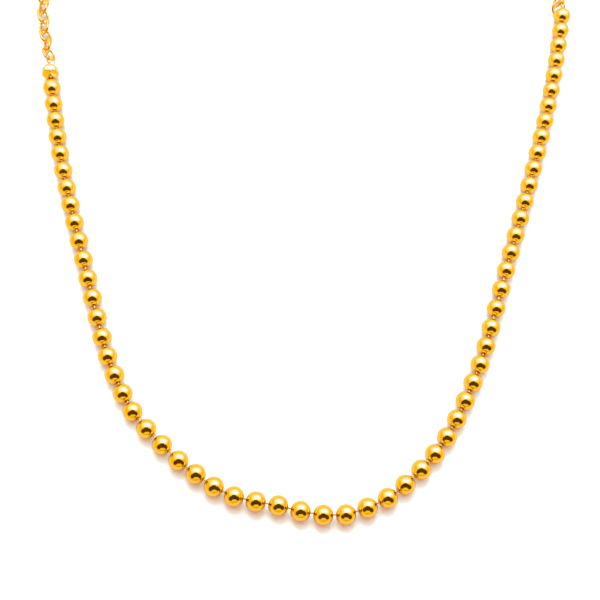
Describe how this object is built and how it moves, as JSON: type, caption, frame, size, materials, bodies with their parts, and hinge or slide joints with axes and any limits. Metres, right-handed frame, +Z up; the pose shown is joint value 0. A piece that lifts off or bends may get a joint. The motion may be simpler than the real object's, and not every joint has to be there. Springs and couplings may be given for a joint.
{
  "type": "ball chain necklace",
  "caption": "Necklace closed in a lying loop: a row of polished hollow metal balls in front, a faceted bead at one end, an oval cable chain behind and a ring clasp.",
  "frame": {"origin": "on the surface that the necklace lies on, under the middle of the whole loop", "axes": "+X towards the wearer's left as seen in front, +Y from the row of balls to the clasp, +Z up from the surface"},
  "size_m": [0.1278, 0.1636, 0.004],
  "materials": {
    "gold": "mirror-polished gold colour",
    "bright_gold": "diamond-cut bright gold colour"
  },
  "bodies": {
    "root": {"balls": "gold", "pins": "gold", "cut_bead": "bright_gold", "eye_pin_left": "gold", "eye_pin_right": "gold", "ring_left": "gold", "ring_right": "gold", "chain_left": "gold", "chain_right": "gold", "clasp": "gold"}
  },
  "joints": []
}
